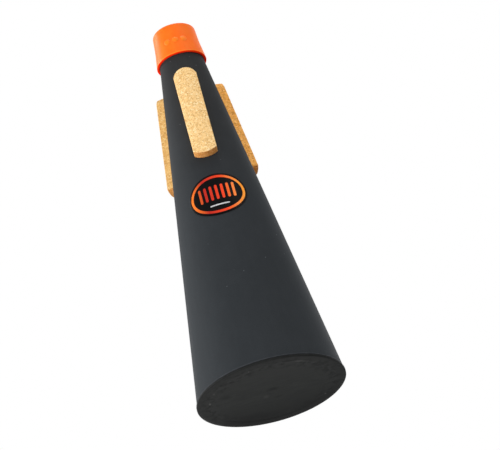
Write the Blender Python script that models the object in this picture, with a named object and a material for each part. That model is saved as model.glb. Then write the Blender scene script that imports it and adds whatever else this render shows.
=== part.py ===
"""Slim straight mute for a small trumpet, as separate pieces.

A hollow cone is closed at its wide end by a seated plate and open at its neck. A soft bumper is pulled over
the neck, three cork strips are bonded lengthways outside, and a printed oval badge sits below one of them.

Metres. The origin is the centre of the flat face the mute stands on, and +Z runs up the axis to the neck.
The badge and the first cork strip face -Y.
"""

import math

import bmesh
import bpy

# Clearances
FIT_GAP = 0.0003  # between pieces that slide together or rest on each other
BOND_GAP = 0.0003  # film of glue under a cork strip
PRINT_GAP = 0.00015  # film of glue under the badge

# Cone shell
BASE_RADIUS = 0.0300  # outer radius where the cone's line meets the standing plane
NECK_RADIUS = 0.0076  # outer radius at the neck end
NECK_HEIGHT = 0.1690  # neck end above the standing plane
SHELL_WALL = 0.0016
SHELL_EDGE_ROUND = 0.0004

# Base plate
LIP_THICKNESS = 0.0009  # rim that covers the end of the shell
LIP_PROUD = 0.00035  # how far the rim stands out from the shell
LIP_ROUND = 0.00035
LIP_SEAM_ROUND = 0.00015
WEB_THICKNESS = 0.0026
SPIGOT_RISE = 0.0030  # how far the ring that seats inside the shell stands above the web
SPIGOT_WALL = 0.0016
SPIGOT_ROUND = 0.0004

# Neck bumper
BUMPER_GRIP = 0.0140  # length of neck that the bumper covers
BUMPER_LIP_WALL = 0.0010
BUMPER_TOP_WALL = 0.0010
BUMPER_CROWN = 0.0014  # thickness over the end of the neck
BUMPER_SHOULDER = 0.0010
BUMPER_LIP_ROUND = 0.0003
BUMPER_MOUTH_ROUND = 0.0005

# Cork strips
CORK_COUNT = 3
CORK_DROP = 0.0105  # from the bumper's foot down to the upper end of the strips
CORK_LENGTH = 0.0445  # along the axis
CORK_WIDTH = 0.0098
CORK_THICKNESS = 0.0035
CORK_TOP_ARCH = 0.0036  # how far the rounded upper end stands past its corners
CORK_LOW_ARCH = 0.0018

# Badge
BADGE_DROP = 0.0090  # from the lower end of the strips down to the top of the badge
BADGE_WIDTH = 0.0250  # round the cone
BADGE_LENGTH = 0.0200  # along the axis
BADGE_THICKNESS = 0.00025

# Number of steps in curved shapes
TURNED_STEPS = 80
FILLET_STEPS = 3
CORK_ACROSS = 10
CORK_ALONG = 18
BADGE_RINGS = 5
BADGE_STEPS = 40

SLOPE = (BASE_RADIUS - NECK_RADIUS) / NECK_HEIGHT
CONE_ANGLE = math.atan(SLOPE)
SHELL_BOTTOM = LIP_THICKNESS + FIT_GAP
SPIGOT_TOP = WEB_THICKNESS + SPIGOT_RISE
BUMPER_FOOT = NECK_HEIGHT - BUMPER_GRIP
CORK_HIGH = BUMPER_FOOT - CORK_DROP
CORK_LOW = CORK_HIGH - CORK_LENGTH
BADGE_MIDDLE = CORK_LOW - BADGE_DROP - BADGE_LENGTH / 2
FILLET_SHARE = 0.45  # most of a side that the rounding of one corner may take
SHARP_ANGLE = math.radians(35)
WELD_DISTANCE = 0.00001


def cone_radius(height):
    """Outer radius of the cone at a height."""
    return BASE_RADIUS - SLOPE * height


def bore_radius(height):
    """Inner radius of the cone's wall at a height."""
    return cone_radius(height) - SHELL_WALL / math.cos(CONE_ANGLE)


def on_cone(across, height, offset):
    """A point on the cone's -Y side, `across` right of its middle and `offset` out from the surface."""
    radius = cone_radius(height) + offset * math.cos(CONE_ANGLE)
    lift = offset * math.sin(CONE_ANGLE)
    return (across, -math.sqrt(radius * radius - across * across), height + lift)


def remove_old_objects():
    for thing in list(bpy.data.objects):
        bpy.data.objects.remove(thing, do_unlink=True)


def make_material(name, colour, roughness):
    material = bpy.data.materials.new(name)
    material.use_nodes = True
    shader = material.node_tree.nodes["Principled BSDF"]
    shader.inputs["Base Color"].default_value = (*colour, 1.0)
    shader.inputs["Roughness"].default_value = roughness
    shader.inputs["Metallic"].default_value = 0.0
    material.diffuse_color = (*colour, 1.0)
    return material


def make_object(name, mesh, material, parent):
    thing = bpy.data.objects.new(name, mesh)
    bpy.context.collection.objects.link(thing)
    if not mesh.materials:
        mesh.materials.append(material)
    thing.parent = parent
    return thing


def make_empty(name, height):
    empty = bpy.data.objects.new(name, None)
    empty.location.z = height
    bpy.context.collection.objects.link(empty)
    return empty


def fillet(before, corner, after, radius):
    """Points of the arc that rounds a corner of an outline."""
    to_before = (before[0] - corner[0], before[1] - corner[1])
    to_after = (after[0] - corner[0], after[1] - corner[1])
    length_before = math.hypot(*to_before)
    length_after = math.hypot(*to_after)
    u = (to_before[0] / length_before, to_before[1] / length_before)
    v = (to_after[0] / length_after, to_after[1] / length_after)
    half = math.acos(u[0] * v[0] + u[1] * v[1]) / 2
    reach = min(radius / math.tan(half), FILLET_SHARE * min(length_before, length_after))
    radius = reach * math.tan(half)
    bisector = (u[0] + v[0], u[1] + v[1])
    scale = radius / math.sin(half) / math.hypot(*bisector)
    centre = (corner[0] + bisector[0] * scale, corner[1] + bisector[1] * scale)
    start = (corner[0] + u[0] * reach, corner[1] + u[1] * reach)
    end = (corner[0] + v[0] * reach, corner[1] + v[1] * reach)
    first = math.atan2(start[1] - centre[1], start[0] - centre[0])
    last = math.atan2(end[1] - centre[1], end[0] - centre[0])
    turn = (last - first + math.pi) % (2 * math.pi) - math.pi
    points = []
    for step in range(FILLET_STEPS + 1):
        angle = first + turn * step / FILLET_STEPS
        points.append((centre[0] + radius * math.cos(angle), centre[1] + radius * math.sin(angle)))
    return points


def rounded_outline(corners, closed):
    """Outline of (radius, height) points from corners given as (radius, height, rounding)."""
    points = []
    count = len(corners)
    for index, (x, z, rounding) in enumerate(corners):
        at_end = not closed and index in (0, count - 1)
        if rounding <= 0 or at_end:
            points.append((x, z))
            continue
        before = corners[index - 1]
        after = corners[(index + 1) % count]
        points.extend(fillet(before[:2], (x, z), after[:2], rounding))
    return points


def finish_mesh(work, name):
    """A closed mesh from the modelled faces, smooth but for its sharp edges."""
    bmesh.ops.recalc_face_normals(work, faces=work.faces)
    mesh = bpy.data.meshes.new(name)
    work.to_mesh(mesh)
    work.free()
    mesh.shade_smooth()
    mesh.set_sharp_from_angle(angle=SHARP_ANGLE)
    return mesh


def turned_piece(name, corners, closed, material, parent):
    """A piece turned about Z from an outline: a closed ring, or a line from the axis back to the axis."""
    outline = rounded_outline(corners, closed)
    foot = parent.location.z
    work = bmesh.new()
    points = [work.verts.new((x, 0.0, z - foot)) for x, z in outline]
    lines = [work.edges.new(pair) for pair in zip(points, points[1:])]
    if closed:
        lines.append(work.edges.new((points[-1], points[0])))
    bmesh.ops.spin(
        work, geom=points + lines, axis=(0, 0, 1), cent=(0, 0, 0), angle=2 * math.pi, steps=TURNED_STEPS
    )
    bmesh.ops.remove_doubles(work, verts=work.verts, dist=WELD_DISTANCE)
    return make_object(name, finish_mesh(work, name), material, parent)


def make_cone_shell(material, parent):
    corners = [
        (cone_radius(NECK_HEIGHT), NECK_HEIGHT, SHELL_EDGE_ROUND),
        (cone_radius(SHELL_BOTTOM), SHELL_BOTTOM, 0),
        (bore_radius(SHELL_BOTTOM), SHELL_BOTTOM, 0),
        (bore_radius(NECK_HEIGHT), NECK_HEIGHT, SHELL_EDGE_ROUND),
    ]
    return turned_piece("cone_shell", corners, True, material, parent)


def make_base_plate(material, parent):
    lip_radius = cone_radius(SHELL_BOTTOM) + LIP_PROUD
    spigot_top = bore_radius(SPIGOT_TOP) - FIT_GAP
    spigot_foot = bore_radius(LIP_THICKNESS) - FIT_GAP
    ring_inside = spigot_top - SPIGOT_WALL
    corners = [
        (0.0, WEB_THICKNESS, 0),
        (ring_inside, WEB_THICKNESS, 0),
        (ring_inside, SPIGOT_TOP, 0),
        (spigot_top, SPIGOT_TOP, SPIGOT_ROUND),
        (spigot_foot, LIP_THICKNESS, 0),
        (lip_radius, LIP_THICKNESS, LIP_SEAM_ROUND),
        (lip_radius, 0.0, LIP_ROUND),
        (0.0, 0.0, 0),
    ]
    return turned_piece("base_plate", corners, False, material, parent)


def make_neck_bumper(material, parent):
    seat = NECK_HEIGHT + FIT_GAP
    top = seat + BUMPER_CROWN
    mouth = bore_radius(NECK_HEIGHT)
    corners = [
        (cone_radius(NECK_HEIGHT) + FIT_GAP + BUMPER_TOP_WALL, top, BUMPER_SHOULDER),
        (cone_radius(BUMPER_FOOT) + FIT_GAP + BUMPER_LIP_WALL, BUMPER_FOOT, BUMPER_LIP_ROUND),
        (cone_radius(BUMPER_FOOT) + FIT_GAP, BUMPER_FOOT, BUMPER_LIP_ROUND),
        (cone_radius(seat) + FIT_GAP, seat, 0),
        (mouth, seat, 0),
        (mouth, top, BUMPER_MOUTH_ROUND),
    ]
    return turned_piece("neck_bumper", corners, True, material, parent)


def arch_drop(across, half_width, arch):
    """How far an arched end has fallen from its middle at a distance across it."""
    radius = (half_width * half_width + arch * arch) / (2 * arch)
    return radius - math.sqrt(radius * radius - across * across)


def make_cork_mesh():
    """A flat strip with rounded ends, bent to the cone, its sides square to its middle."""
    half_width = CORK_WIDTH / 2
    work = bmesh.new()
    layers = []
    for offset in (BOND_GAP, BOND_GAP + CORK_THICKNESS):
        layer = []
        for i in range(CORK_ACROSS + 1):
            across = -half_width + CORK_WIDTH * i / CORK_ACROSS
            low = CORK_LOW + arch_drop(across, half_width, CORK_LOW_ARCH)
            high = CORK_HIGH - arch_drop(across, half_width, CORK_TOP_ARCH)
            column = []
            for j in range(CORK_ALONG + 1):
                height = low + (high - low) * j / CORK_ALONG
                column.append(work.verts.new(on_cone(across, height, offset)))
            layer.append(column)
        layers.append(layer)
    inner, outer = layers
    for i in range(CORK_ACROSS):
        for j in range(CORK_ALONG):
            work.faces.new((outer[i][j], outer[i + 1][j], outer[i + 1][j + 1], outer[i][j + 1]))
            work.faces.new((inner[i][j], inner[i][j + 1], inner[i + 1][j + 1], inner[i + 1][j]))
    for i in range(CORK_ACROSS):
        work.faces.new((inner[i][0], inner[i + 1][0], outer[i + 1][0], outer[i][0]))
        work.faces.new((outer[i][-1], outer[i + 1][-1], inner[i + 1][-1], inner[i][-1]))
    for j in range(CORK_ALONG):
        work.faces.new((inner[0][j], outer[0][j], outer[0][j + 1], inner[0][j + 1]))
        work.faces.new((outer[-1][j], inner[-1][j], inner[-1][j + 1], outer[-1][j + 1]))
    return finish_mesh(work, "cork_strip")


def make_cork_strips(material, parent):
    mesh = make_cork_mesh()
    for index in range(CORK_COUNT):
        strip = make_object(f"cork_strip_{index + 1}", mesh, material, parent)
        strip.rotation_euler.z = 2 * math.pi * index / CORK_COUNT


def badge_point(share, angle, offset):
    """A point of the oval badge, `share` of the way from its middle to its edge."""
    height = BADGE_MIDDLE + share * BADGE_LENGTH / 2 * math.sin(angle)
    round_arc = share * BADGE_WIDTH / 2 * math.cos(angle)
    turn = round_arc / cone_radius(height)
    radius = cone_radius(height) + offset * math.cos(CONE_ANGLE)
    lift = offset * math.sin(CONE_ANGLE)
    return (radius * math.sin(turn), -radius * math.cos(turn), height + lift)


def make_badge(material, parent):
    """A thin oval bent to the cone."""
    work = bmesh.new()
    layers = []
    for offset in (PRINT_GAP, PRINT_GAP + BADGE_THICKNESS):
        middle = work.verts.new(badge_point(0, 0, offset))
        rings = []
        for ring in range(1, BADGE_RINGS + 1):
            share = ring / BADGE_RINGS
            angles = [2 * math.pi * step / BADGE_STEPS for step in range(BADGE_STEPS)]
            rings.append([work.verts.new(badge_point(share, angle, offset)) for angle in angles])
        layers.append((middle, rings))
    for middle, rings in layers:
        for step in range(BADGE_STEPS):
            after = (step + 1) % BADGE_STEPS
            work.faces.new((middle, rings[0][step], rings[0][after]))
            for inside, outside in zip(rings, rings[1:]):
                work.faces.new((inside[step], outside[step], outside[after], inside[after]))
    back_edge = layers[0][1][-1]
    front_edge = layers[1][1][-1]
    for step in range(BADGE_STEPS):
        after = (step + 1) % BADGE_STEPS
        work.faces.new((back_edge[step], back_edge[after], front_edge[after], front_edge[step]))
    return make_object("badge", finish_mesh(work, "badge"), material, parent)


def main():
    remove_old_objects()
    charcoal = make_material("charcoal_composite", (0.025, 0.028, 0.031), 0.55)
    plate_black = make_material("plate_composite", (0.022, 0.023, 0.022), 0.60)
    orange = make_material("orange_silicone", (0.93, 0.15, 0.01), 0.45)
    cork = make_material("cork", (0.86, 0.58, 0.26), 0.90)
    gloss_black = make_material("badge_print", (0.004, 0.004, 0.004), 0.18)

    body = make_empty("mute_body", 0.0)
    bumper = make_empty("bumper_pull_off", BUMPER_FOOT)
    make_cone_shell(charcoal, body)
    make_base_plate(plate_black, body)
    make_neck_bumper(orange, bumper)
    make_cork_strips(cork, body)
    make_badge(gloss_black, body)


main()
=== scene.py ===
# Looks of the slim straight mute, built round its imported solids.
# Metres, in the CAD's frame: the mute stands on z = 0, its neck points up, and -Y faces the badge.

import math

import bmesh
import bpy
from mathutils import Matrix, Vector, noise


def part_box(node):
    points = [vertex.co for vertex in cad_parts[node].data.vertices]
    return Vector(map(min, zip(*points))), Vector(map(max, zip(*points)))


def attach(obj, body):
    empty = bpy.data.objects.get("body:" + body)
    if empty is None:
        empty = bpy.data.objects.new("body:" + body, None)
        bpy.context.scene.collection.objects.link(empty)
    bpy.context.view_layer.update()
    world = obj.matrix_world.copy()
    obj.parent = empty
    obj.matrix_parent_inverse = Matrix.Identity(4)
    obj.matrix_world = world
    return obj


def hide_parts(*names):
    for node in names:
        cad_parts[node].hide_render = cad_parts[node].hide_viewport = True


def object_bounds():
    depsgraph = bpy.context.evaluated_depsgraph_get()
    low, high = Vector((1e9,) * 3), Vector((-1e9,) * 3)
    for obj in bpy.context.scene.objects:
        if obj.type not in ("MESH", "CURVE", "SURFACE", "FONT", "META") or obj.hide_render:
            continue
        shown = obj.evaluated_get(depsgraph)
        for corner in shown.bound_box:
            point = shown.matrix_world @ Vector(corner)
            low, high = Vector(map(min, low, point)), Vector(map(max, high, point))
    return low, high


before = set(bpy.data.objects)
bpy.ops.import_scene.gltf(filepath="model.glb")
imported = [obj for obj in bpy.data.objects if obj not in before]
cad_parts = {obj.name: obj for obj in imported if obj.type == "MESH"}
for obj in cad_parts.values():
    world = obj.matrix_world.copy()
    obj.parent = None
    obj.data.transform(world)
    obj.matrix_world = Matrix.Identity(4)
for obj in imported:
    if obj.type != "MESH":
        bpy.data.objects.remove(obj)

cad_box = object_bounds()

MM = 0.001

# Camera, fitted to the photo: below the rim, in front of the badge, and rolled
CAMERA_PLACE = Vector((-0.06, -875.91, -377.10)) * MM
CAMERA_TURN = (118.1153, 13.8701, 6.6782)  # degrees about X, Y and Z
CAMERA_LENS = 175.0  # millimetres, as is the sensor
CAMERA_SENSOR = 36.0
CAMERA_NEAR = 0.05
CAMERA_FAR = 20.0

# Sizes taken from the frame
shell_low, shell_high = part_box("cone_shell")
plate_low, plate_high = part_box("base_plate")
bumper_low, bumper_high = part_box("neck_bumper")
badge_low, badge_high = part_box("badge")

# Cone shell
NECK_RADIUS = 7.6 * MM
SHELL_WALL = 1.6 * MM
SHELL_ROUND = 0.4 * MM
SHELL_FOOT_ROUND = 0.12 * MM
SHELL_FOOT_HIGHLIGHT_HEIGHT = 0.5 * MM  # height of the pale line painted over the plate as the foot edge's highlight
SLOPE = (shell_high.x - NECK_RADIUS) / (shell_high.z - shell_low.z)
CONE_ANGLE = math.atan(SLOPE)

# Base plate
LIP_THICKNESS = 0.9 * MM
LIP_ROUND = 0.35 * MM
LIP_SEAM_ROUND = 0.15 * MM
WEB_THICKNESS = 2.6 * MM
SPIGOT_WALL = 1.6 * MM
SPIGOT_GAP = 0.3 * MM
SPIGOT_ROUND = 0.4 * MM
SPIGOT_INNER_ROUND = 0.2 * MM
GATE_RADIUS = 1.9 * MM  # shallow dimple in the middle of the plate
GATE_FLOOR_RADIUS = 1.14 * MM
GATE_DEPTH = 0.04 * MM
GATE_ROUND = 0.5 * MM
RECESS_RADIUS = 25.6 * MM  # the middle of the plate lies back from the ring that the mute stands on
RECESS_DEPTH = 0.08 * MM
RECESS_SLOPE = 1.4 * MM
RECESS_ROUND = 2.0 * MM
# Marks on the plate: x, y, half width, half height, turn in degrees, and strength
PLATE_FLECKS = (
    (-6.5 * MM, -24.8 * MM, 0.40 * MM, 0.60 * MM, 0, 0.45),
    (-24.5 * MM, -4.6 * MM, 0.55 * MM, 1.20 * MM, 0, 0.60),
    (-21.8 * MM, -12.9 * MM, 0.60 * MM, 1.10 * MM, 0, 0.25),
    (20.4 * MM, 15.4 * MM, 0.45 * MM, 0.80 * MM, 0, 0.35),
    (-2.6 * MM, 3.0 * MM, 1.50 * MM, 2.00 * MM, 0, 0.13),
    (13.4 * MM, -22.1 * MM, 3.80 * MM, 0.45 * MM, 31, 0.50),
)
PLATE_SMUDGES = (
    (0.7 * MM, -2.6 * MM, 3.2 * MM, 2.4 * MM, 0, 0.75),
    (2.1 * MM, 5.6 * MM, 2.4 * MM, 1.2 * MM, 0, 0.50),
    (13.3 * MM, 19.2 * MM, 2.8 * MM, 3.0 * MM, -30, 0.60),
    (-8.4 * MM, 23.0 * MM, 16.0 * MM, 8.0 * MM, 14, 0.95),
    (-17.8 * MM, -6.6 * MM, 3.0 * MM, 2.6 * MM, 30, 0.50),
    (21.6 * MM, -14.2 * MM, 1.0 * MM, 2.6 * MM, -20, 0.60),
    (22.8 * MM, -9.0 * MM, 1.0 * MM, 2.2 * MM, -10, 0.60),
    (25.2 * MM, -7.4 * MM, 0.9 * MM, 2.4 * MM, 0, 0.50),
)
FLECK_COLOUR = (0.105, 0.105, 0.100)
SMUDGE_COLOUR = (0.0075, 0.0080, 0.0080)

# Neck bumper
BUMPER_GAP = 0.08 * MM  # between the silicone and the neck
BUMPER_CROWN = 1.4 * MM
BUMPER_TOP_RADIUS = NECK_RADIUS + 1.5 * MM
BUMPER_WAIST = 0.25 * MM  # inwards from a straight cone
BUMPER_BEND = 60 * MM  # rounding at the waist
BUMPER_SHOULDER = 0.9 * MM
BUMPER_LIP_ROUND = 0.35 * MM
BUMPER_MOUTH_ROUND = 0.5 * MM
BUMPER_FOOT_EDGE = 0.28 * MM  # height of the deep red edge, painted for the shade and glow under the lip
BUMPER_HIGHLIGHT_BAND = 0.9 * MM  # height of the paler band over it, a painted highlight
PIP_COUNT = 3
PIP_RADIUS = 1.35 * MM
PIP_RISE = 0.3456 * MM
PIP_ROOT = 0.27 * MM  # how deep a pip's back lies in the bumper
PIP_SPACING = 3.6 * MM
PIP_DROP = 8.6 * MM  # from the top of the bumper to the middle of the pips

# Cork strips: node, name of the material, and tint of the cut sides, which paints the different light that
# each strip's sides get
CORKS = (
    ("cork_strip_1", "pressed_cork", (1.0, 1.0, 1.0)),
    ("cork_strip_2", "pressed_cork_warm_light", (1.14, 0.93, 0.63)),
    ("cork_strip_3", "pressed_cork_cool_light", (0.84, 0.88, 0.93)),
)
CORK_END_TINT = (0.75, 0.55, 0.42)  # painted shade of the lower ends, over the tint of the sides
CORK_VOXEL = 0.17 * MM
CORK_BACK = 1.0 * MM  # points nearer to the cone than this belong to the strip's back
CORK_SINK = 0.35 * MM  # takes the strip's back through the film of glue
CORK_CUT_FACING = (0.35, 0.8)  # how much a face looks out from the cone, from a cut side to the front
CORK_END_FACING = (0.45, 0.75)  # how much a face looks down, from a side to the lower end
CORK_GRAIN = 0.55 * MM
CORK_SEAM = 0.04 * MM  # depth between the grains
CORK_SEAM_WIDTH = 0.3  # in grains
CORK_PIT = 0.22 * MM
CORK_PIT_REACH = (0.15, 0.5)  # from its floor to its edge, in grains
CORK_PIT_SHARE = 0.05  # of the grains
CORK_SHIFT = Vector((17.3, 5.1, 9.7))  # takes each strip to another part of the noise, in grains
CORK_PICK = 7.31  # spreads the grains' middles, so that each is picked for a pit by itself

# Badge
BADGE_MIDDLE = (badge_low.z + badge_high.z) / 2
BADGE_WIDTH = 25.0 * MM  # round the cone
BADGE_LENGTH = 20.0 * MM
BADGE_FILM = 0.2 * MM
BADGE_PRINT = 0.03 * MM
BADGE_ROUND = 0.08 * MM  # how far in from its edge the film starts to round over
BADGE_SINK = 0.02 * MM  # how deep the film's back lies in the cone, and the print's back in the film
BADGE_RING_INSET = 1.0 * MM
BADGE_RING_WIDTH = 1.1 * MM
GRILLE_BARS = 7
GRILLE_SPACING = 2.3 * MM
GRILLE_BAR_WIDTH = 1.1 * MM
GRILLE_BAR_HEIGHT = 7.0 * MM
GRILLE_RISE = 0.9 * MM  # of its middle over the badge's
RULE_DROP = 5.2 * MM  # thin pale line under the grille
RULE_LENGTH = 8.0 * MM
RULE_HEIGHT = 0.6 * MM
BAR_TIP = 0.04 * MM  # least half width of a bar, at its very ends

# Finish of the meshes
TURNED_STEPS = 256
RING_SPACING = 2.0 * MM  # between rings of faces along a turned outline
FILLET_STEPS = 6
FILLET_SHARE = 0.45  # most of a side that the rounding of one corner may take
PIP_STEPS = 48
FILM_STEPS = 128
FILM_RINGS = 14
FILM_BACK_RINGS = 6
PRINT_STEPS = 160
BAR_COLUMNS = 28
SHARP_ANGLE = math.radians(35)
WELD_DISTANCE = 0.002 * MM


def cone_radius(height):
    """Outer radius of the cone at a height."""
    return shell_high.x - SLOPE * (height - shell_low.z)


def bore_radius(height):
    """Inner radius of the cone's wall at a height."""
    return cone_radius(height) - SHELL_WALL / math.cos(CONE_ANGLE)


def on_cone(turn, height, offset):
    """A point `offset` out from the cone, at an angle from -Y."""
    radius = cone_radius(height) + offset * math.cos(CONE_ANGLE)
    lift = offset * math.sin(CONE_ANGLE)
    return Vector((radius * math.sin(turn), -radius * math.cos(turn), height + lift))


def cone_normal(point):
    """Direction straight out of the cone at a point."""
    flat = Vector((point.x, point.y, 0)).normalized()
    return (flat * math.cos(CONE_ANGLE) + Vector((0, 0, math.sin(CONE_ANGLE)))).normalized()


def smooth_step(value, low, high):
    """0 up to a low value and 1 from a high one, with a soft rise between them."""
    share = min(1.0, max(0.0, (value - low) / (high - low)))
    return share * share * (3 - 2 * share)


def turns(steps):
    """The angles of equal steps round a circle."""
    return [2 * math.pi * step / steps for step in range(steps)]


# Meshes


def add_piece(name, mesh, material, body, slot, *replaced):
    """Adds a mesh as a piece that rides a body, and takes the place of the solids named last."""
    piece = bpy.data.objects.new(name, mesh)
    bpy.context.collection.objects.link(piece)
    mesh.materials.clear()
    mesh.materials.append(material)
    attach(piece, body)
    if replaced:
        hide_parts(*replaced)
    return piece


def finish_mesh(work, name):
    """A mesh from the modelled faces, smooth but for its sharp edges."""
    bmesh.ops.recalc_face_normals(work, faces=work.faces)
    mesh = bpy.data.meshes.new(name)
    work.to_mesh(mesh)
    work.free()
    mesh.shade_smooth()
    mesh.set_sharp_from_angle(angle=SHARP_ANGLE)
    return mesh


def fillet(before, corner, after, radius):
    """Points of the arc that rounds a corner of an outline."""
    corner = Vector(corner)
    to_before, to_after = Vector(before) - corner, Vector(after) - corner
    u, v = to_before.normalized(), to_after.normalized()
    half = u.angle(v) / 2
    reach = min(radius / math.tan(half), FILLET_SHARE * min(to_before.length, to_after.length))
    radius = reach * math.tan(half)
    centre = corner + (u + v).normalized() * radius / math.sin(half)
    first, last = corner + u * reach - centre, corner + v * reach - centre
    turn = first.angle_signed(last)
    points = []
    for step in range(FILLET_STEPS + 1):
        arm = first.copy()
        arm.rotate(Matrix.Rotation(-turn * step / FILLET_STEPS, 2))
        points.append(centre + arm)
    return points


def rounded_outline(corners, closed):
    """Outline of (radius, height) points, from corners that are each (radius, height, rounding)."""
    points = []
    count = len(corners)
    for index, (x, z, rounding) in enumerate(corners):
        if rounding <= 0 or (not closed and index in (0, count - 1)):
            points.append(Vector((x, z)))
        else:
            before, after = corners[index - 1], corners[(index + 1) % count]
            points.extend(fillet(before[:2], (x, z), after[:2], rounding))
    rings = []
    ends = points[1:] + points[:1] if closed else points[1:]
    for start, end in zip(points, ends):
        cuts = max(1, round((end - start).length / RING_SPACING))
        rings.extend(start.lerp(end, cut / cuts) for cut in range(cuts))
    return rings if closed else rings + [points[-1]]


def turned_mesh(name, corners, closed):
    """A mesh turned about Z from an outline: a closed ring, or a line from the axis back to the axis."""
    work = bmesh.new()
    points = [work.verts.new((p.x, 0.0, p.y)) for p in rounded_outline(corners, closed)]
    lines = [work.edges.new(pair) for pair in zip(points, points[1:])]
    if closed:
        lines.append(work.edges.new((points[-1], points[0])))
    bmesh.ops.spin(
        work, geom=points + lines, axis=(0, 0, 1), cent=(0, 0, 0), angle=2 * math.pi, steps=TURNED_STEPS
    )
    bmesh.ops.remove_doubles(work, verts=work.verts, dist=WELD_DISTANCE)
    return finish_mesh(work, name)


def shell_mesh():
    """The wall of the hollow cone, open at both ends."""
    foot, neck = shell_low.z, shell_high.z
    corners = [
        (NECK_RADIUS, neck, SHELL_ROUND),
        (cone_radius(foot), foot, SHELL_FOOT_ROUND),
        (bore_radius(foot), foot, 0),
        (bore_radius(neck), neck, SHELL_ROUND),
    ]
    return turned_mesh("shell", corners, True)


def plate_mesh():
    """The disc that closes the wide end, with the ring that seats it in the shell."""
    lip_radius = plate_high.x
    spigot_top = plate_high.z
    spigot_radius = bore_radius(spigot_top) - SPIGOT_GAP
    ring_inside = spigot_radius - SPIGOT_WALL
    corners = [
        (0.0, WEB_THICKNESS, 0),
        (ring_inside, WEB_THICKNESS, SPIGOT_INNER_ROUND),
        (ring_inside, spigot_top, SPIGOT_INNER_ROUND),
        (spigot_radius, spigot_top, SPIGOT_ROUND),
        (bore_radius(LIP_THICKNESS) - SPIGOT_GAP, LIP_THICKNESS, 0),
        (lip_radius, LIP_THICKNESS, LIP_SEAM_ROUND),
        (lip_radius, 0.0, LIP_ROUND),
        (RECESS_RADIUS + RECESS_SLOPE / 2, 0.0, RECESS_ROUND),
        (RECESS_RADIUS - RECESS_SLOPE / 2, RECESS_DEPTH, RECESS_ROUND),
        (GATE_RADIUS, RECESS_DEPTH, GATE_ROUND),
        (GATE_FLOOR_RADIUS, RECESS_DEPTH + GATE_DEPTH, GATE_ROUND),
        (0.0, RECESS_DEPTH + GATE_DEPTH, 0),
    ]
    return turned_mesh("plate", corners, False)


def bumper_radius(height):
    """Outer radius of the bumper at a height: a straight cone with a slight waist half way up."""
    share = (height - bumper_low.z) / (bumper_high.z - bumper_low.z)
    straight = bumper_high.x + (BUMPER_TOP_RADIUS - bumper_high.x) * share
    return straight - BUMPER_WAIST * (1 - abs(2 * share - 1))


def bumper_mesh():
    """The soft ring over the neck, with a crown that rests on the neck's end and a mouth through it."""
    foot, top = bumper_low.z, bumper_high.z
    waist = (foot + top) / 2
    seat = top - BUMPER_CROWN
    mouth = bore_radius(shell_high.z)
    corners = [
        (BUMPER_TOP_RADIUS, top, BUMPER_SHOULDER),
        (bumper_radius(waist), waist, BUMPER_BEND),
        (bumper_high.x, foot, BUMPER_LIP_ROUND),
        (cone_radius(foot) + BUMPER_GAP, foot, BUMPER_LIP_ROUND),
        (cone_radius(seat) + BUMPER_GAP, seat, 0),
        (mouth, seat, 0),
        (mouth, top, BUMPER_MOUTH_ROUND),
    ]
    return turned_mesh("bumper", corners, True)


def pips_mesh():
    """A row of low round domes on the front of the bumper."""
    height = bumper_high.z - PIP_DROP
    radius = bumper_radius(height)
    lean = math.atan((bumper_high.x - BUMPER_TOP_RADIUS) / (bumper_high.z - bumper_low.z))
    work = bmesh.new()
    for index in range(PIP_COUNT):
        turn = (index - (PIP_COUNT - 1) / 2) * PIP_SPACING / radius
        aside = Vector((math.sin(turn), -math.cos(turn), 0))
        outward = aside * math.cos(lean) + Vector((0, 0, math.sin(lean)))
        place = aside * radius + Vector((0, 0, height))
        dome = bmesh.ops.create_uvsphere(
            work, u_segments=PIP_STEPS, v_segments=PIP_STEPS, radius=PIP_RADIUS
        )["verts"]
        for vert in dome:
            rise = PIP_RISE if vert.co.z > 0 else PIP_ROOT
            vert.co.z *= rise / PIP_RADIUS
        spin = Vector((0, 0, 1)).rotation_difference(outward).to_matrix().to_4x4()
        bmesh.ops.transform(work, matrix=Matrix.Translation(place) @ spin, verts=dome)
    return finish_mesh(work, "pips")


def seat_on_cone(mesh):
    """Moves the back of a cork strip in through the film of glue."""
    for vert in mesh.vertices:
        radius = math.hypot(vert.co.x, vert.co.y)
        if (radius - cone_radius(vert.co.z)) * math.cos(CONE_ANGLE) < CORK_BACK:
            vert.co -= cone_normal(vert.co) * CORK_SINK


def remeshed(mesh, name):
    """The shape of a mesh in small even faces."""
    holder = bpy.data.objects.new("cork_holder", mesh)
    bpy.context.collection.objects.link(holder)
    remesh = holder.modifiers.new("remesh", "REMESH")
    remesh.mode = "VOXEL"
    remesh.voxel_size = CORK_VOXEL
    graph = bpy.context.evaluated_depsgraph_get()
    fine = bpy.data.meshes.new_from_object(holder.evaluated_get(graph))
    fine.name = name
    bpy.data.objects.remove(holder)
    return fine


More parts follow.
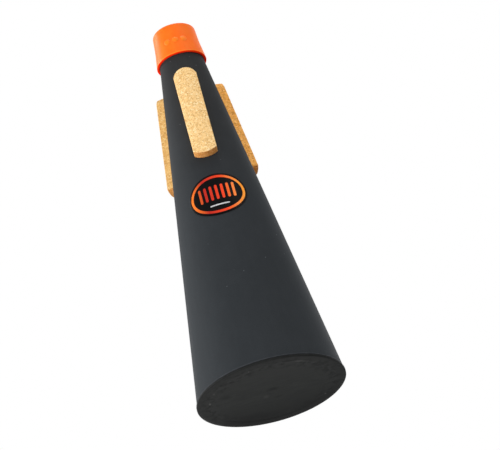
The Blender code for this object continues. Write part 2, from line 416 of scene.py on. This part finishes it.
def roughen(mesh, shift):
    """Cuts seams and pits into the cork, and marks its cut sides, lower end, and pits and seams, where the
    material paints shade.
    """
    normals = [vert.normal.copy() for vert in mesh.vertices]
    names = ("cut", "end", "pit")
    for name in names:
        mesh.attributes.new(name, "FLOAT", "POINT")
    cut_share, end_share, pit_shade_share = (mesh.attributes[name].data for name in names)
    for vert, normal in zip(mesh.vertices, normals):
        facing = normal.dot(cone_normal(vert.co))
        cut_share[vert.index].value = 1 - smooth_step(facing, *CORK_CUT_FACING)
        end_share[vert.index].value = smooth_step(-normal.z, *CORK_END_FACING)
        if facing < -0.5:  # the back of the strip stays smooth
            continue
        place = vert.co / CORK_GRAIN + shift
        distances, centres = noise.voronoi(place)
        seam = 1 - smooth_step(distances[1] - distances[0], 0.0, CORK_SEAM_WIDTH)
        wave = noise.fractal(place * 0.6, 1.0, 2.0, 3)
        pit = 0.0
        if abs(noise.cell(centres[0] * CORK_PICK + shift)) < CORK_PIT_SHARE:
            pit = 1 - smooth_step(distances[0], *CORK_PIT_REACH)
        vert.co -= normal * (CORK_SEAM * (seam + 0.5 * wave) + CORK_PIT * pit)
        pit_shade_share[vert.index].value = min(1.0, 0.3 * seam + pit)


def cork_mesh(node, index):
    """The strip's own solid, seated on the shell, remeshed finely and pitted like pressed cork."""
    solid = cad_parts[node].data.copy()
    seat_on_cone(solid)
    mesh = remeshed(solid, f"cork_{index}")
    roughen(mesh, CORK_SHIFT * (index + 1))
    mesh.shade_smooth()
    return mesh


def oval_point(share, angle, offset):
    """A point over the oval of the badge, `share` of the way from its middle to its edge."""
    height = BADGE_MIDDLE + share * BADGE_LENGTH / 2 * math.sin(angle)
    turn = share * BADGE_WIDTH / 2 * math.cos(angle) / cone_radius(height)
    return on_cone(turn, height, offset)


def film_mesh():
    """A thin oval film bent to the cone, its edge rounded over."""
    flat = 1 - BADGE_ROUND / (BADGE_LENGTH / 2)
    profile = [(flat * ring / FILM_RINGS, BADGE_FILM) for ring in range(1, FILM_RINGS + 1)]
    profile += [(1 - 0.3 * (1 - flat), 0.85 * BADGE_FILM), (1, 0.5 * BADGE_FILM)]
    profile += [(ring / FILM_BACK_RINGS, -BADGE_SINK) for ring in range(FILM_BACK_RINGS, 0, -1)]
    angles = turns(FILM_STEPS)
    work = bmesh.new()
    centre = work.verts.new(oval_point(0, 0, BADGE_FILM))
    back = work.verts.new(oval_point(0, 0, -BADGE_SINK))
    loops = []
    for share, offset in profile:
        loops.append([work.verts.new(oval_point(share, angle, offset)) for angle in angles])
    for step in range(FILM_STEPS):
        after = (step + 1) % FILM_STEPS
        work.faces.new((centre, loops[0][step], loops[0][after]))
        work.faces.new((back, loops[-1][after], loops[-1][step]))
        for inside, outside in zip(loops, loops[1:]):
            work.faces.new((inside[step], outside[step], outside[after], inside[after]))
    return finish_mesh(work, "film")


def badge_point(x, y, offset):
    """A point x right of the badge's middle and y above it, `offset` out from the cone."""
    height = BADGE_MIDDLE + y
    return on_cone(x / cone_radius(height), height, offset)


def ring_mesh():
    """A printed oval ring: a closed thin band on the film."""
    work = bmesh.new()
    loops = []
    for offset in (BADGE_FILM - BADGE_SINK, BADGE_FILM + BADGE_PRINT):
        for inset in (BADGE_RING_INSET + BADGE_RING_WIDTH, BADGE_RING_INSET):
            half_width, half_length = BADGE_WIDTH / 2 - inset, BADGE_LENGTH / 2 - inset
            loop = []
            for angle in turns(PRINT_STEPS):
                x, y = half_width * math.cos(angle), half_length * math.sin(angle)
                loop.append(work.verts.new(badge_point(x, y, offset)))
            loops.append(loop)
    low_in, low_out, high_in, high_out = loops
    for step in range(PRINT_STEPS):
        after = (step + 1) % PRINT_STEPS
        work.faces.new((high_in[step], high_out[step], high_out[after], high_in[after]))
        work.faces.new((low_in[after], low_out[after], low_out[step], low_in[step]))
        work.faces.new((high_out[step], low_out[step], low_out[after], high_out[after]))
        work.faces.new((high_in[after], low_in[after], low_in[step], high_in[step]))
    return finish_mesh(work, "ring")


def bar_on_film(work, x, y, length, height):
    """A printed bar with round ends, its middle x right of the badge's and y above it."""
    low, high = BADGE_FILM - BADGE_SINK, BADGE_FILM + BADGE_PRINT
    long_half, round_end = max(length, height) / 2, min(length, height) / 2
    upright = height > length
    rows = []
    for column in range(BAR_COLUMNS + 1):
        along = -long_half * math.cos(math.pi * column / BAR_COLUMNS)
        past = max(0.0, abs(along) - (long_half - round_end))
        half = max(BAR_TIP, math.sqrt(max(0.0, round_end * round_end - past * past)))
        row = []
        for aside, offset in ((-half, low), (-half, high), (half, high), (half, low)):
            across, up = (-aside, along) if upright else (along, aside)
            row.append(work.verts.new(badge_point(x + across, y + up, offset)))
        rows.append(row)
    for left, right in zip(rows, rows[1:]):
        for corner in range(4):
            after = (corner + 1) % 4
            work.faces.new((left[corner], right[corner], right[after], left[after]))
    work.faces.new(rows[0])
    work.faces.new(list(reversed(rows[-1])))


def grille_mesh():
    """A row of equal upright bars."""
    work = bmesh.new()
    for index in range(GRILLE_BARS):
        x = (index - (GRILLE_BARS - 1) / 2) * GRILLE_SPACING
        bar_on_film(work, x, GRILLE_RISE, GRILLE_BAR_WIDTH, GRILLE_BAR_HEIGHT)
    return finish_mesh(work, "grille")


def rule_mesh():
    """One level bar."""
    work = bmesh.new()
    bar_on_film(work, 0.0, -RULE_DROP, RULE_LENGTH, RULE_HEIGHT)
    return finish_mesh(work, "rule")


# Materials


class Surface:
    """A material whose nodes are added one at a time round its Principled shader."""

    def __init__(self, name):
        self.material = bpy.data.materials.new(name)
        self.material.use_nodes = True
        self.tree = self.material.node_tree
        self.shader = self.tree.nodes["Principled BSDF"]
        self.place = self.add("ShaderNodeTexCoord").outputs["Object"]

    def add(self, kind, **settings):
        node = self.tree.nodes.new(kind)
        for name, value in settings.items():
            setattr(node, name, value)
        return node

    def put(self, socket, value):
        """Links an input to an output, or sets its value. A colour may have only three numbers."""
        if isinstance(value, bpy.types.NodeSocket):
            self.tree.links.new(value, socket)
        elif socket.type == "RGBA" and len(value) == 3:
            socket.default_value = (*value, 1.0)
        else:
            socket.default_value = value

    def feed(self, node, **inputs):
        """Puts values into named inputs of a node. Underscores stand for the spaces in the names."""
        for name, value in inputs.items():
            self.put(node.inputs[name.replace("_", " ")], value)
        return node

    def finish(self, **inputs):
        self.feed(self.shader, **inputs)
        return self.material

    def axes(self):
        """The X, Y and Z of the place."""
        node = self.add("ShaderNodeSeparateXYZ")
        self.put(node.inputs[0], self.place)
        return node.outputs

    def vector(self, **parts):
        """A vector with the given X, Y or Z, and 0 for the rest."""
        return self.feed(self.add("ShaderNodeCombineXYZ"), **parts).outputs[0]

    def length(self, vector):
        node = self.add("ShaderNodeVectorMath", operation="LENGTH")
        self.put(node.inputs[0], vector)
        return node.outputs["Value"]

    def stretched(self, x, y, z):
        """The place, scaled along each axis."""
        node = self.add("ShaderNodeMapping")
        self.feed(node, Vector=self.place, Scale=(x, y, z))
        return node.outputs["Vector"]

    def noise(self, size, detail=2.0, place=None, distortion=0.0):
        """A cloudy grey whose clouds have a given size."""
        node = self.add("ShaderNodeTexNoise")
        self.feed(node, Vector=place or self.place, Scale=1 / size, Detail=detail, Distortion=distortion)
        return node.outputs["Fac"]

    def cells(self, size, feature="F1"):
        """Colour and distance of scattered cells that have a given size."""
        node = self.add("ShaderNodeTexVoronoi", feature=feature)
        return self.feed(node, Vector=self.place, Scale=1 / size).outputs

    def ramp(self, value, *stops):
        """A colour or grey that changes with a value, from stops of (place, colour)."""
        node = self.add("ShaderNodeValToRGB")
        elements = node.color_ramp.elements
        while len(elements) < len(stops):
            elements.new(1.0)
        for element, (place, colour) in zip(elements, stops):
            element.position = place
            colour = colour if isinstance(colour, tuple) else (colour,) * 3
            element.color = (*colour, 1.0)
        self.put(node.inputs["Fac"], value)
        return node.outputs["Color"]

    def mix(self, share, first, second, blend="MIX"):
        """Two colours mixed. The node's other inputs are for the other kinds of data that it mixes."""
        node = self.add("ShaderNodeMix", data_type="RGBA", blend_type=blend)
        self.put(node.inputs[0], share)
        self.put(node.inputs[6], first)
        self.put(node.inputs[7], second)
        return node.outputs[2]

    def math(self, operation, first, second):
        node = self.add("ShaderNodeMath", operation=operation)
        self.put(node.inputs[0], first)
        self.put(node.inputs[1], second)
        return node.outputs[0]

    def times(self, first, second):
        return self.math("MULTIPLY", first, second)

    def rising(self, value, slope, start):
        """The start plus the slope times a value."""
        return self.math("ADD", self.times(value, slope), start)

    def height_over(self, level, unit):
        """Height over a level, in units of a length."""
        return self.math("DIVIDE", self.math("SUBTRACT", self.axes()["Z"], level), unit)

    def attribute(self, name):
        return self.add("ShaderNodeAttribute", attribute_name=name).outputs["Fac"]

    def channels(self, colour):
        """The red, green and blue of a colour."""
        node = self.add("ShaderNodeSeparateColor")
        self.put(node.inputs[0], colour)
        return node.outputs

    def spot(self, x, y, half_x, half_y, turn):
        """1 in the middle of a soft oval spot on a face that looks down, and 0 outside it."""
        node = self.add("ShaderNodeMapping", vector_type="TEXTURE")
        self.feed(node, Vector=self.place, Location=(x, y, 0), Scale=(half_x, half_y, 1.0))
        self.feed(node, Rotation=(0, 0, math.radians(turn)))
        return self.ramp(self.length(node.outputs["Vector"]), (0.3, 1.0), (1.0, 0.0))

    def bump(self, height, depth, below=None):
        """A normal roughened by a height, over another roughened one if given."""
        node = self.feed(self.add("ShaderNodeBump"), Height=height, Distance=depth)
        if below is not None:
            self.put(node.inputs["Normal"], below)
        return node.outputs["Normal"]


def charcoal_material():
    """Fine matte moulded shell, a little blue but for its neck, with faint mottling, specks of dust and a
    painted highlight streaked along its foot edge.
    """
    s = Surface("charcoal_composite")
    mottle = s.noise(12 * MM, 4.0, distortion=0.5)
    streak = s.noise(2.2 * MM, 2.0, s.stretched(1, 1, 0.12))
    grain = s.noise(0.22 * MM, 2.0)
    tone = s.ramp(mottle, (0.36, (0.0212, 0.0244, 0.0276)), (0.64, (0.0288, 0.0326, 0.0366)))
    streaked = s.ramp(streak, (0.35, (0.0222, 0.0254, 0.0286)), (0.65, (0.0284, 0.0320, 0.0356)))
    tone = s.mix(0.35, tone, streaked)
    grained = s.ramp(grain, (0.3, (0.0190, 0.0218, 0.0248)), (0.7, (0.0310, 0.0348, 0.0388)))
    tone = s.mix(0.5, tone, grained)
    height = s.math("DIVIDE", s.axes()["Z"], shell_high.z)
    neutral = s.ramp(mottle, (0.36, (0.0238, 0.0240, 0.0246)), (0.64, (0.0292, 0.0295, 0.0302)))
    tone = s.mix(s.ramp(height, (0.45, 0.0), (0.85, 0.8)), tone, neutral)
    # Painted highlight: a pale bluish line along the foot edge, broken up by the streaks.
    painted_foot_highlight = s.ramp(s.height_over(shell_low.z, SHELL_FOOT_HIGHLIGHT_HEIGHT), (0.4, 0.50), (0.9, 0.0))
    tone = s.mix(s.times(painted_foot_highlight, streak), tone, (0.105, 0.112, 0.125))
    dust = s.cells(4.0 * MM)
    chosen = s.ramp(dust["Color"], (0.66, 0.0), (0.72, 1.0))
    spot = s.ramp(dust["Distance"], (0.03, 1.0), (0.06, 0.0))
    tone = s.mix(s.times(s.times(chosen, spot), 0.5), tone, (0.16, 0.165, 0.18))
    normal = s.bump(grain, 0.012 * MM)
    normal = s.bump(s.noise(1.1 * MM, 2.0), 0.010 * MM, normal)
    rough = s.rising(mottle, 0.10, 0.66)
    return s.finish(Base_Color=tone, Roughness=rough, Normal=normal, IOR=1.5, Specular_IOR_Level=0.06)


def plate_material():
    """Flat matte black, with faint turned marks, a darker mottled standing ring, smudges and flecks, and
    painted light and shade: darker towards the back, lighter towards the front and left, and darker at the
    lip's outer edge.
    """
    s = Surface("plate_composite")
    axes = s.axes()
    radius = s.length(s.vector(X=axes["X"], Y=axes["Y"]))
    share = s.math("DIVIDE", radius, plate_high.x)
    to_back = s.math("DIVIDE", axes["Y"], plate_high.y)
    to_front = s.math("DIVIDE", axes["Y"], plate_low.y)
    to_left = s.math("DIVIDE", axes["X"], plate_low.x)
    turned = s.noise(0.30 * MM, 3.0, s.vector(X=radius))
    smudge = s.noise(7 * MM, 3.0, distortion=0.5)
    ring_mottle_noise = s.noise(2.6 * MM, 3.0, distortion=0.4)
    brushed = s.noise(1.1 * MM, 3.0, s.stretched(0.15, 1.0, 1.0))
    tone = s.ramp(smudge, (0.35, (0.0166, 0.0174, 0.0172)), (0.65, (0.0246, 0.0258, 0.0250)))
    marked = s.ramp(turned, (0.35, (0.0110, 0.0117, 0.0115)), (0.65, (0.0270, 0.0284, 0.0276)))
    tone = s.mix(0.25, tone, marked)
    marked = s.ramp(brushed, (0.35, (0.0120, 0.0127, 0.0125)), (0.65, (0.0270, 0.0284, 0.0276)))
    tone = s.mix(0.25, tone, marked)
    # Painted light and shade: darker towards the back, lighter towards the front and towards the left.
    tone = s.mix(s.ramp(to_back, (0.05, 0.0), (0.65, 0.80)), tone, (0.0088, 0.0094, 0.0094))
    tone = s.mix(s.ramp(to_front, (0.10, 0.0), (0.60, 0.40)), tone, (0.0320, 0.0325, 0.0320))
    tone = s.mix(s.ramp(to_left, (0.55, 0.0), (0.95, 0.55)), tone, (0.0340, 0.0345, 0.0340))
    # A darker mottled band on the ring that the mute stands on, and darker from there out to the lip.
    ring = s.ramp(share, (0.66, 0.0), (0.80, 1.0), (0.88, 1.0), (0.97, 0.25))
    ring_mottle = s.ramp(ring_mottle_noise, (0.38, 0.70), (0.54, 0.0))
    tone = s.mix(s.times(ring, ring_mottle), tone, (0.0072, 0.0077, 0.0078))
    tone = s.mix(s.ramp(share, (0.83, 0.0), (0.88, 0.22)), tone, (0.0085, 0.0090, 0.0090))
    # Painted shade: the outer edge of the lip, at the seam with the shell, darker.
    tone = s.mix(s.ramp(share, (0.975, 0.0), (0.99, 0.35)), tone, (0.0070, 0.0074, 0.0078))
    # Paler mottling along the rim, on the far side only.
    pale_rim_noise = s.ramp(s.noise(0.8 * MM, 2.0), (0.50, 0.0), (0.60, 0.8))
    rim = s.ramp(share, (0.955, 0.0), (0.970, 1.0), (0.992, 1.0), (0.997, 0.0))
    far_side = s.ramp(to_back, (0.0, 0.0), (0.3, 1.0))
    tone = s.mix(s.times(s.times(rim, pale_rim_noise), far_side), tone, (0.0520, 0.0525, 0.0520))
    for marks, colour in ((PLATE_SMUDGES, SMUDGE_COLOUR), (PLATE_FLECKS, FLECK_COLOUR)):
        for x, y, half_x, half_y, turn, strength in marks:
            tone = s.mix(s.times(s.spot(x, y, half_x, half_y, turn), strength), tone, colour)
    normal = s.bump(turned, 0.010 * MM)
    normal = s.bump(s.noise(0.25 * MM, 2.0), 0.012 * MM, normal)
    rough = s.rising(smudge, 0.12, 0.55)
    return s.finish(Base_Color=tone, Roughness=rough, Normal=normal, IOR=1.45, Specular_IOR_Level=0.04)


def silicone_material(name, body):
    """Satin silicone, with a paler band painted just above the foot as the highlight on the lip's rounded
    edge.
    """
    s = Surface(name)
    cloud = s.noise(5 * MM, 2.0)
    grain = s.noise(0.18 * MM, 2.0)
    pale = tuple(min(1.0, c * 1.12 + 0.004) for c in body)
    tone = s.ramp(cloud, (0.3, body), (0.7, pale))
    tone = s.mix(s.times(grain, 0.10), tone, (0.85, 0.10, 0.004))
    # Painted highlight: a paler orange band just above the foot, where the lip's rounded edge catches the
    # light.
    thin = s.ramp(s.height_over(bumper_low.z, BUMPER_HIGHLIGHT_BAND), (0.5, 0.45), (1.0, 0.0))
    tone = s.mix(thin, tone, (1.0, 0.300, 0.030))
    normal = s.bump(grain, 0.006 * MM)
    normal = s.bump(s.noise(1.5 * MM, 1.0), 0.010 * MM, normal)
    rough = s.rising(cloud, 0.10, 0.36)
    return s.finish(
        Base_Color=tone, Roughness=rough, Normal=normal, IOR=1.42, Specular_IOR_Level=0.18,
        Subsurface_Weight=0.3, Subsurface_Scale=0.8 * MM, Subsurface_Radius=(1.0, 0.20, 0.05)
    )


def silicone_foot_material():
    """The thin edge of the silicone at its foot, painted deep red for the shade and the glow through the
    silicone under the lip.
    """
    s = Surface("orange_silicone_foot")
    grain = s.noise(0.3 * MM, 2.0)
    tone = s.ramp(grain, (0.3, (1.0, 0.018, 0.0005)), (0.7, (1.0, 0.032, 0.0010)))
    rough = s.ramp(grain, (0.3, 0.5), (0.7, 0.6))
    return s.finish(
        Base_Color=tone, Roughness=rough, Normal=s.bump(grain, 0.006 * MM), Specular_IOR_Level=0.02,
        Subsurface_Weight=1.0, Subsurface_Scale=2.2 * MM, Subsurface_Radius=(1.0, 0.20, 0.05),
        Sheen_Weight=1.0, Sheen_Roughness=0.9, Sheen_Tint=(1.0, 0.03, 0.005)
    )


def cork_material(name, tint):
    """Fine pressed cork: pale tan grains and brown specks, with painted shade: deeper brown on the cut
    sides, deeper still on the lower end, and darker in pits and seams.
    """
    s = Surface(name)
    grains = s.cells(0.5 * MM)
    edges = s.cells(0.5 * MM, "DISTANCE_TO_EDGE")["Distance"]
    shade = s.channels(grains["Color"])[0]
    face = s.ramp(
        shade,
        (0.0, (0.65, 0.370, 0.125)), (0.30, (0.89, 0.585, 0.244)), (0.72, (0.96, 0.665, 0.303)),
        (1.0, (1.0, 0.810, 0.470)),
    )
    # Painted shade: the cut sides take a deeper, more saturated brown than the front, and each strip's
    # tint paints the light on its sides.
    cut = s.ramp(
        shade,
        (0.0, (0.56, 0.265, 0.065)), (0.35, (0.81, 0.445, 0.130)), (0.75, (0.88, 0.505, 0.160)),
        (1.0, (0.98, 0.690, 0.310)),
    )
    cut = s.mix(1.0, cut, tint, "MULTIPLY")
    side = s.attribute("cut")
    tone = s.mix(side, face, cut)
    # Painted shade: the lower ends darker and browner, as they face down away from the light.
    end = s.mix(1.0, tone, CORK_END_TINT, "MULTIPLY")
    tone = s.mix(s.times(side, s.attribute("end")), tone, end)
    fine = s.noise(0.22 * MM, 3.0)
    tone = s.mix(s.ramp(fine, (0.32, 0.45), (0.50, 0.0)), tone, (0.70, 0.360, 0.110))
    pale = s.noise(0.45 * MM, 2.0)
    tone = s.mix(s.ramp(pale, (0.60, 0.0), (0.72, 0.50)), tone, (1.0, 0.82, 0.52))
    tone = s.mix(s.ramp(edges, (0.0, 0.24), (0.06, 0.0)), tone, (0.58, 0.270, 0.080))
    specks = s.cells(0.8 * MM)
    chosen = s.ramp(s.channels(specks["Color"])[1], (0.72, 0.0), (0.95, 1.0))
    speck = s.ramp(specks["Distance"], (0.18, 1.0), (0.28, 0.0))
    tone = s.mix(s.times(chosen, speck), tone, (0.50, 0.210, 0.065))
    # Painted shade in the pits and seams.
    tone = s.mix(s.times(s.attribute("pit"), 0.35), tone, (0.42, 0.190, 0.060))
    normal = s.bump(edges, 0.06 * MM)
    normal = s.bump(fine, 0.05 * MM, normal)
    rough = s.ramp(fine, (0.3, 0.80), (0.7, 0.95))
    return s.finish(Base_Color=tone, Roughness=rough, Normal=normal, Specular_IOR_Level=0.15)


def film_material():
    """Gloss black film with a trace of orange peel."""
    s = Surface("gloss_black_film")
    cloud = s.noise(3 * MM, 2.0)
    tone = s.ramp(cloud, (0.3, (0.0012, 0.0011, 0.0012)), (0.7, (0.0024, 0.0023, 0.0024)))
    rough = s.rising(s.noise(0.8 * MM, 3.0), 0.12, 0.30)
    normal = s.bump(cloud, 0.01 * MM)
    return s.finish(Base_Color=tone, Roughness=rough, Normal=normal, IOR=1.5, Specular_IOR_Level=0.05)


def warm_print_material():
    """Printed ink that runs from orange through deep red and back to orange across the badge."""
    s = Surface("warm_print")
    tone = s.ramp(
        s.rising(s.axes()["X"], 1 / BADGE_WIDTH, 0.5),
        (0.05, (0.90, 0.200, 0.010)), (0.30, (0.42, 0.010, 0.003)), (0.60, (0.86, 0.050, 0.006)),
        (0.92, (1.0, 0.330, 0.012)),
    )
    speckle = s.noise(0.2 * MM, 2.0)
    tone = s.mix(s.ramp(speckle, (0.30, 0.25), (0.5, 0.0)), tone, (0.30, 0.02, 0.004))
    rough = s.ramp(speckle, (0.3, 0.25), (0.7, 0.36))
    return s.finish(Base_Color=tone, Roughness=rough, Specular_IOR_Level=0.25)


def pale_print_material():
    """Printed ink in a pale grey."""
    s = Surface("pale_print")
    speckle = s.noise(0.2 * MM, 2.0)
    tone = s.ramp(speckle, (0.3, (0.42, 0.42, 0.43)), (0.6, (0.62, 0.62, 0.63)))
    rough = s.ramp(speckle, (0.3, 0.25), (0.7, 0.36))
    return s.finish(Base_Color=tone, Roughness=rough, Specular_IOR_Level=0.25)


# Pieces


def build_shell_and_plate():
    shell, plate = charcoal_material(), plate_material()
    add_piece("mute_shell", shell_mesh(), shell, "mute_body", "composite_shell", "cone_shell")
    add_piece("mute_base", plate_mesh(), plate, "mute_body", "composite_plate", "base_plate")


def build_bumper():
    silicone = silicone_material("orange_silicone", (0.97, 0.155, 0.006))
    ring = add_piece("bumper_ring", bumper_mesh(), silicone, "bumper", "silicone", "neck_bumper")
    ring.data.materials.append(silicone_foot_material())
    # Faces at the foot take the deep red painted for the shade and glow under the lip.
    for face in ring.data.polygons:
        if face.center.z < bumper_low.z + BUMPER_FOOT_EDGE:
            face.material_index = 1
    pip_silicone = silicone_material("orange_silicone_pips", (1.0, 0.205, 0.012))
    add_piece("bumper_pips", pips_mesh(), pip_silicone, "bumper", "silicone")


def build_corks():
    for index, (node, name, tint) in enumerate(CORKS):
        cork = cork_material(name, tint)
        add_piece(f"cork_{index + 1}", cork_mesh(node, index), cork, "mute_body", "cork", node)


def build_badge():
    warm = warm_print_material()
    add_piece("badge_film", film_mesh(), film_material(), "mute_body", "print", "badge")
    add_piece("badge_ring", ring_mesh(), warm, "mute_body", "print")
    add_piece("badge_grille", grille_mesh(), warm, "mute_body", "print")
    add_piece("badge_rule", rule_mesh(), pale_print_material(), "mute_body", "print")


# Studio

LAMP_DISTANCE = 1.5
AMBIENT = 0.28  # strength of the surround as a light
# Direction from the mute, share of full light on a face that looks at the lamp, and width in metres
LAMPS = {
    "key_left": ((-0.85, -0.47, -0.20), 1.03, 1.3),
    "fill_right": ((0.78, -0.55, 0.28), 0.38, 1.0),
    "front": ((0.05, -0.95, -0.15), 0.14, 0.9),
    "gloss_left": ((-0.78, 0.28, 0.50), 0.36, 0.45),
    "gloss_right": ((0.55, -0.58, 0.60), 0.05, 0.30),
    "back_left": ((-0.35, 0.93, 0.15), 0.22, 0.9),
    "back_right": ((0.60, 0.80, 0.15), 0.30, 0.9),
    "top": ((0.10, -0.15, 1.0), 0.45, 0.9),
    "under": ((-0.60, -0.05, -0.80), 0.38, 0.9),
}
FLOOR_DROP = 0.2 * MM
FLOOR_RADIUS = 1.6
FLOOR_STEPS = 96


def place_camera():
    """The camera of the main picture."""
    data = bpy.data.cameras.new("camera")
    data.lens = CAMERA_LENS
    data.sensor_width = CAMERA_SENSOR
    data.clip_start = CAMERA_NEAR
    data.clip_end = CAMERA_FAR
    camera = bpy.data.objects.new("camera", data)
    camera.location = CAMERA_PLACE
    camera.rotation_euler = [math.radians(angle) for angle in CAMERA_TURN]
    bpy.context.collection.objects.link(camera)
    bpy.context.scene.camera = camera


def place_lamps():
    """Square lamps round the mute. In full light a white face that looks at the lamp shows as white."""
    middle = (cad_box[0] + cad_box[1]) / 2
    for name, (direction, share, width) in LAMPS.items():
        data = bpy.data.lights.new(name, "AREA")
        data.shape = "SQUARE"
        data.size = width
        data.energy = share * math.pi ** 2 * LAMP_DISTANCE ** 2
        lamp = bpy.data.objects.new(name, data)
        out = Vector(direction).normalized()
        lamp.location = middle + out * LAMP_DISTANCE
        lamp.rotation_euler = out.to_track_quat("Z", "Y").to_euler()
        lamp.visible_camera = False
        bpy.context.collection.objects.link(lamp)


def white_surround():
    """White to the eye, in reflections and through clear things, but dimmer as a light."""
    world = bpy.data.worlds.new("white_surround")
    bpy.context.scene.world = world
    world.use_nodes = True
    tree = world.node_tree
    background = tree.nodes["Background"]
    background.inputs["Color"].default_value = (1, 1, 1, 1)
    rays = tree.nodes.new("ShaderNodeLightPath")
    seen = rays.outputs["Is Camera Ray"]
    for other in ("Is Glossy Ray", "Is Transmission Ray"):
        either = tree.nodes.new("ShaderNodeMath")
        either.operation = "MAXIMUM"
        tree.links.new(seen, either.inputs[0])
        tree.links.new(rays.outputs[other], either.inputs[1])
        seen = either.outputs[0]
    strength = tree.nodes.new("ShaderNodeMapRange")
    tree.links.new(seen, strength.inputs["Value"])
    strength.inputs["To Min"].default_value = AMBIENT
    strength.inputs["To Max"].default_value = 1.0
    tree.links.new(strength.outputs["Result"], background.inputs["Strength"])


def floor_material():
    """Pale and matte, clear towards the edge, and clear from below."""
    s = Surface("pale_floor")
    tone = s.ramp(s.noise(60 * MM, 3.0), (0.3, (0.80, 0.80, 0.80)), (0.7, (0.84, 0.84, 0.84)))
    s.finish(Base_Color=tone, Roughness=0.8, Specular_IOR_Level=0.1)
    fade = s.ramp(s.math("DIVIDE", s.length(s.place), FLOOR_RADIUS), (0.15, 0.0), (0.95, 1.0))
    clear = s.math("MAXIMUM", fade, s.add("ShaderNodeNewGeometry").outputs["Backfacing"])
    mixed = s.add("ShaderNodeMixShader")
    s.put(mixed.inputs[0], clear)
    s.put(mixed.inputs[1], s.shader.outputs[0])
    s.put(mixed.inputs[2], s.add("ShaderNodeBsdfTransparent").outputs[0])
    s.put(s.tree.nodes["Material Output"].inputs["Surface"], mixed.outputs[0])
    return s.material


def lay_floor():
    """A pale round floor that fades out, is seen from above only, and takes the mute's shadow."""
    work = bmesh.new()
    bmesh.ops.create_circle(work, cap_ends=True, segments=FLOOR_STEPS, radius=FLOOR_RADIUS)
    mesh = bpy.data.meshes.new("floor")
    work.to_mesh(mesh)
    work.free()
    mesh.materials.append(floor_material())
    floor = bpy.data.objects.new("floor", mesh)
    floor.location.z = plate_low.z - FLOOR_DROP
    bpy.context.collection.objects.link(floor)
    floor.visible_shadow = floor.visible_diffuse = floor.visible_glossy = False


bpy.context.scene.view_settings.view_transform = "Standard"
place_camera()
place_lamps()
white_surround()
lay_floor()
build_shell_and_plate()
build_bumper()
build_corks()
build_badge()
